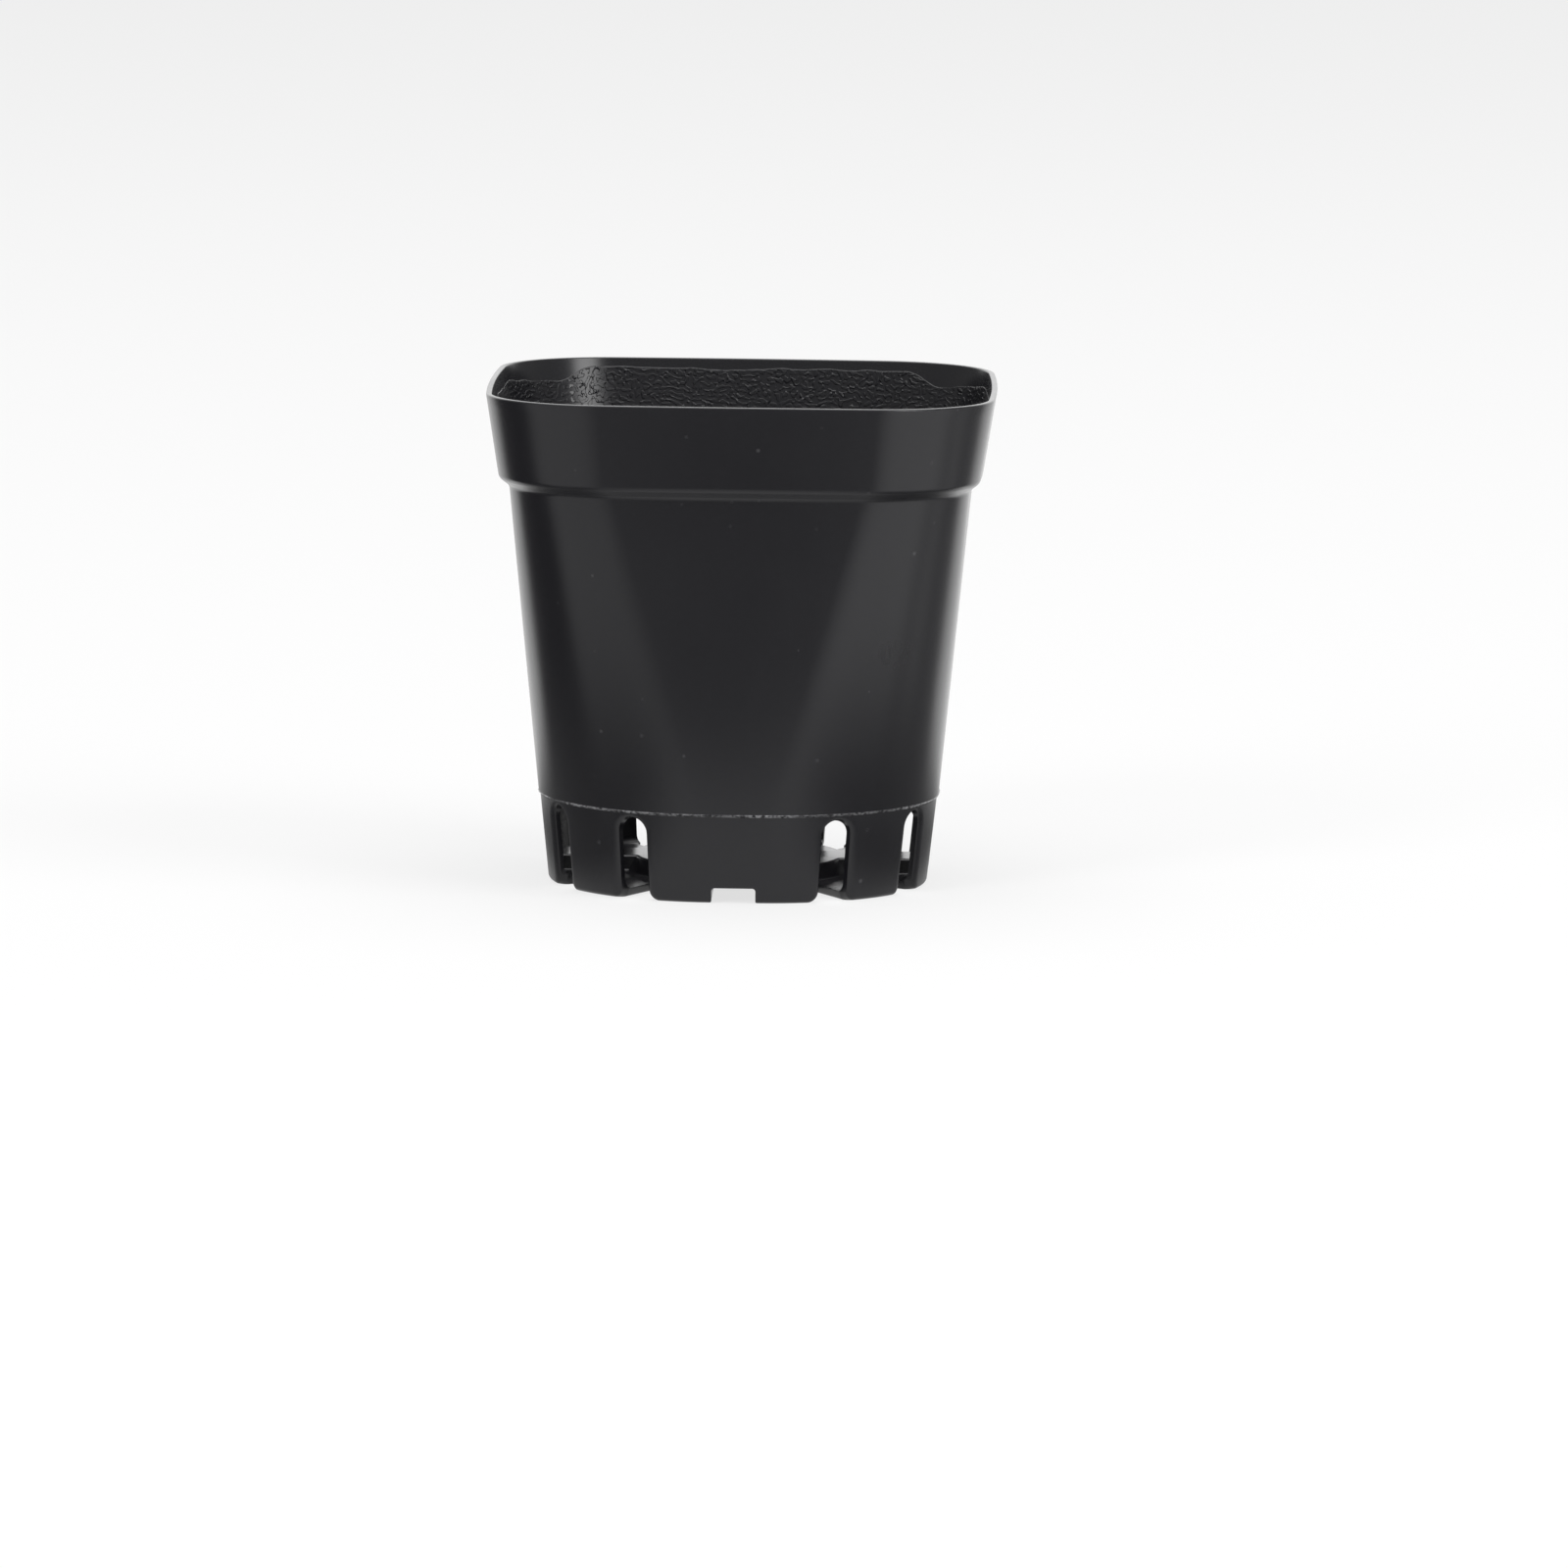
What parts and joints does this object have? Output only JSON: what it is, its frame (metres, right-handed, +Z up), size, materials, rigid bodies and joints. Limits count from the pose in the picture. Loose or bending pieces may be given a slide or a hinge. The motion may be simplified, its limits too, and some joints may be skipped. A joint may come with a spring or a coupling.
{
  "type": "square seed starting pot",
  "caption": "Small square plant pot with round corners, a flared collar, a nearly round slotted foot and a raised floor.",
  "frame": {"origin": "on the ground, under the middle of the pot", "axes": "+Z up along the pot's axis, towards the rim; X and Y square to the flat sides, which are all alike"},
  "size_m": [0.07, 0.07, 0.0687],
  "materials": {
    "black_plastic": "satin"
  },
  "bodies": {
    "root": {"pot": "black_plastic"}
  },
  "joints": []
}
